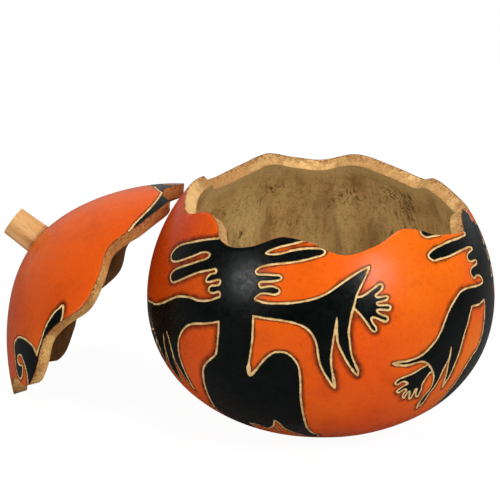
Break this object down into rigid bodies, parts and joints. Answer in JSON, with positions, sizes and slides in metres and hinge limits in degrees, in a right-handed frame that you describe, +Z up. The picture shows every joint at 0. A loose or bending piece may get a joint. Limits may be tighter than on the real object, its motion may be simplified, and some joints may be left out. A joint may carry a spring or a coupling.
{
  "type": "gourd box",
  "caption": "Round hollow gourd bowl with a wavy sawn rim; the domed lid with a wooden stem stands beside it, leaning on the bowl.",
  "frame": {"origin": "middle of the bowl's flat foot, on the table", "axes": "+Z up, the carved front faces -Y, the lid lies towards -X"},
  "size_m": [0.2159, 0.1652, 0.1056],
  "materials": {
    "dyed_gourd": "orange dyed and waxed dried gourd shell with carved and blackened figures, raw tan cut edge and fibrous khaki inside",
    "dyed_gourd_lid": "orange dyed and waxed dried gourd shell, darker towards the edge, raw brown cut edge and fibrous inside",
    "pale_wood": "bare straight-grained pale wood"
  },
  "bodies": {
    "bowl_body": {"bowl": "dyed_gourd"},
    "lid_body": {"lid": "dyed_gourd_lid", "stem": "pale_wood"}
  },
  "joints": [
    {"name": "lid_lift", "type": "slide", "parent": "bowl_body", "child": "lid_body", "axis": [0, 0, 1], "range_m": [0, 0.12]}
  ]
}
